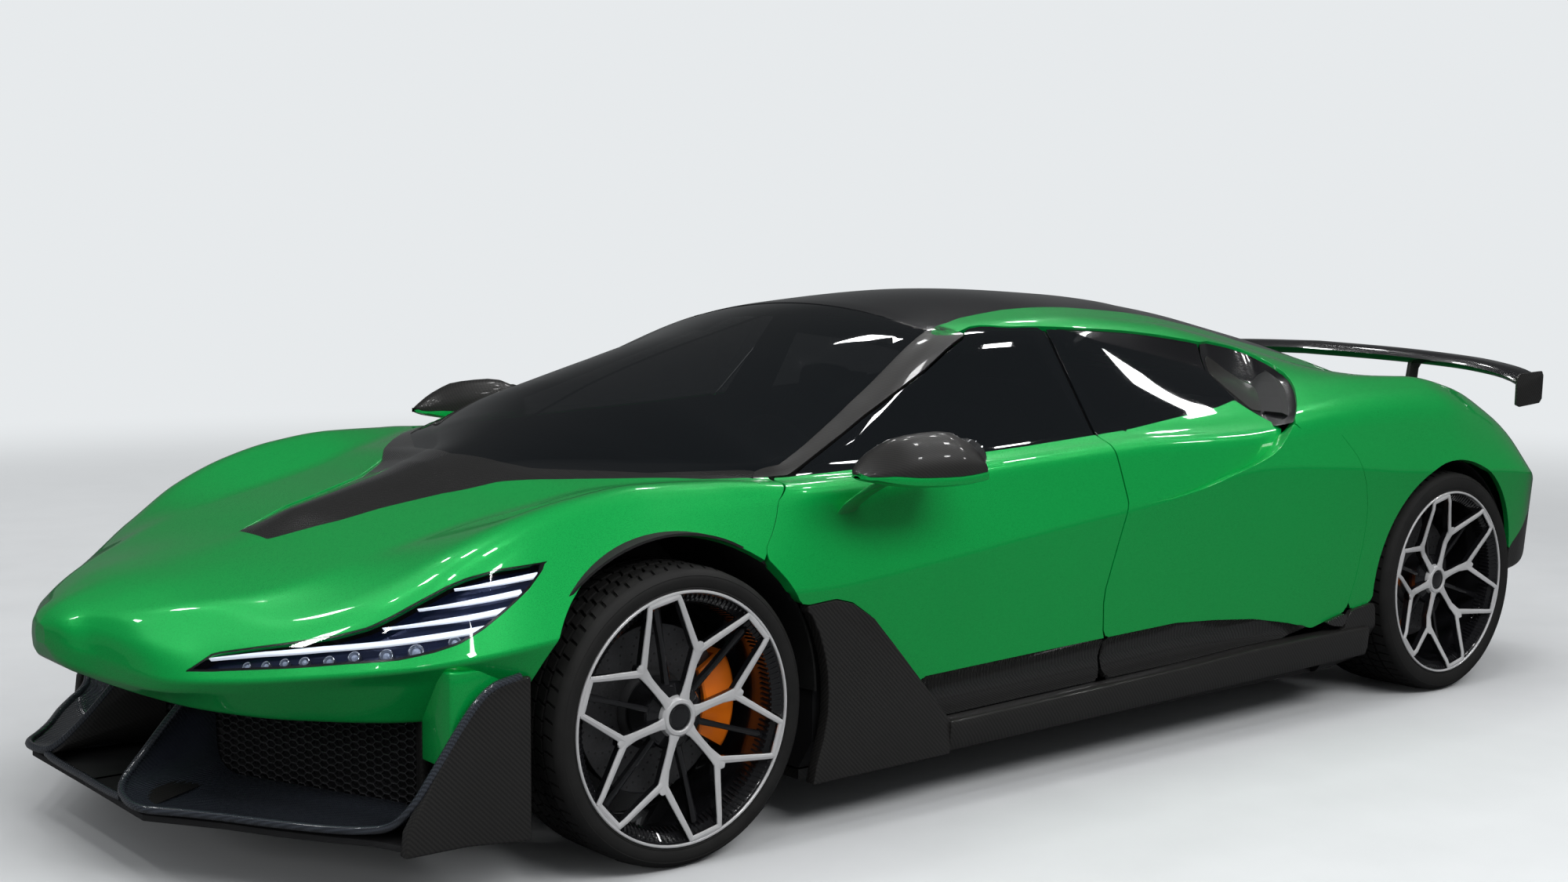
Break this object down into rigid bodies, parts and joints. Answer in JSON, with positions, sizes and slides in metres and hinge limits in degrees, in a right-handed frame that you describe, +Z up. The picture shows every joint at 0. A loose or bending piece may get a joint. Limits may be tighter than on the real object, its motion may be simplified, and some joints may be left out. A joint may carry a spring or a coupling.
{
  "type": "four-door supercar",
  "caption": "Low four-door supercar with drooping nose, beaked splitter, black glasshouse, looped rear pillars, carbon aero and fixed rear wing; opening doors, steered rolling wheels",
  "frame": {"origin": "on the ground under the middle of the car's box", "axes": "+X forward, +Y to the car's left, +Z up"},
  "size_m": [4.998, 2.3, 1.284],
  "materials": {
    "paint": "metallic green, clear coated",
    "carbon": "woven carbon fibre, lacquered",
    "gloss_black": "gloss black",
    "glazing": "dark tinted",
    "lamp_glass": "clear lens over dark housing",
    "black_plastic": "fine textured",
    "battery_case": "plain",
    "upholstery": "stitched black",
    "forged_metal": "forged",
    "caliper_paint": "orange enamel",
    "disc_steel": "turned",
    "rim_metal": "machined faces, black behind",
    "tyre": "rubber"
  },
  "bodies": {
    "chassis": {"battery_pack": "battery_case", "bonnet_spear": "carbon", "centre_console": "black_plastic", "dashboard": "black_plastic", "floor_pan": "black_plastic", "front_clip": "paint", "front_grilles": "black_plastic", "front_seats": "upholstery", "front_splitter": "carbon", "front_suspension": "forged_metal", "headlamps": "lamp_glass", "passenger_cell": "carbon", "pillar_trims": "carbon", "quarter_trims": "carbon", "rear_body": "paint", "rear_bumper": "carbon", "rear_calipers": "caliper_paint", "rear_hub_carriers": "forged_metal", "rear_seats": "upholstery", "rear_suspension": "forged_metal", "rear_window": "glazing", "rear_wing": "gloss_black", "roof_panel": "gloss_black", "sill_blades": "carbon", "steering_wheel": "black_plastic", "tail_lamps": "lamp_glass", "wheel_liners": "black_plastic", "windscreen": "glazing"},
    "front_door_left": {"front_door_left": "paint", "front_door_glass_left": "glazing", "mirror_left": "carbon"},
    "rear_door_left": {"rear_door_left": "paint", "rear_door_glass_left": "glazing"},
    "steer_left": {"front_hub_carrier_left": "forged_metal", "front_caliper_left": "caliper_paint"},
    "front_wheel_left": {"front_tyre_left": "tyre", "front_rim_left": "rim_metal", "front_brake_disc_left": "disc_steel"},
    "rear_wheel_left": {"rear_tyre_left": "tyre", "rear_rim_left": "rim_metal", "rear_brake_disc_left": "disc_steel"},
    "front_door_right": {"front_door_right": "paint", "front_door_glass_right": "glazing", "mirror_right": "carbon"},
    "rear_door_right": {"rear_door_right": "paint", "rear_door_glass_right": "glazing"},
    "steer_right": {"front_hub_carrier_right": "forged_metal", "front_caliper_right": "caliper_paint"},
    "front_wheel_right": {"front_tyre_right": "tyre", "front_rim_right": "rim_metal", "front_brake_disc_right": "disc_steel"},
    "rear_wheel_right": {"rear_tyre_right": "tyre", "rear_rim_right": "rim_metal", "rear_brake_disc_right": "disc_steel"}
  },
  "joints": [
    {"name": "front_door_hinge_left", "type": "hinge", "parent": "chassis", "child": "front_door_left", "pos_m": [1.125, 0.985, 0.6], "axis": [0, 0, 1], "range_deg": [-65, 0]},
    {"name": "rear_door_hinge_left", "type": "hinge", "parent": "chassis", "child": "rear_door_left", "pos_m": [-0.02, 1.004, 0.6], "axis": [0, 0, 1], "range_deg": [-65, 0]},
    {"name": "steering_left", "type": "hinge", "parent": "chassis", "child": "steer_left", "pos_m": [1.38, 0.77, 0.35], "axis": [0, 0, 1], "range_deg": [-30, 30]},
    {"name": "front_wheel_spin_left", "type": "hinge", "parent": "steer_left", "child": "front_wheel_left", "pos_m": [1.38, 0.85, 0.35], "axis": [0, 1, 0], "continuous": true},
    {"name": "rear_wheel_spin_left", "type": "hinge", "parent": "chassis", "child": "rear_wheel_left", "pos_m": [-1.65, 0.84, 0.355], "axis": [0, 1, 0], "continuous": true},
    {"name": "front_door_hinge_right", "type": "hinge", "parent": "chassis", "child": "front_door_right", "pos_m": [1.125, -0.985, 0.6], "axis": [0, 0, 1], "range_deg": [0, 65]},
    {"name": "rear_door_hinge_right", "type": "hinge", "parent": "chassis", "child": "rear_door_right", "pos_m": [-0.02, -1.004, 0.6], "axis": [0, 0, 1], "range_deg": [0, 65]},
    {"name": "steering_right", "type": "hinge", "parent": "chassis", "child": "steer_right", "pos_m": [1.38, -0.77, 0.35], "axis": [0, 0, 1], "range_deg": [-30, 30]},
    {"name": "front_wheel_spin_right", "type": "hinge", "parent": "steer_right", "child": "front_wheel_right", "pos_m": [1.38, -0.85, 0.35], "axis": [0, 1, 0], "continuous": true},
    {"name": "rear_wheel_spin_right", "type": "hinge", "parent": "chassis", "child": "rear_wheel_right", "pos_m": [-1.65, -0.84, 0.355], "axis": [0, 1, 0], "continuous": true}
  ],
  "couplings": [
    {"joint": "steering_right", "follows": "steering_left", "ratio": 1}
  ]
}
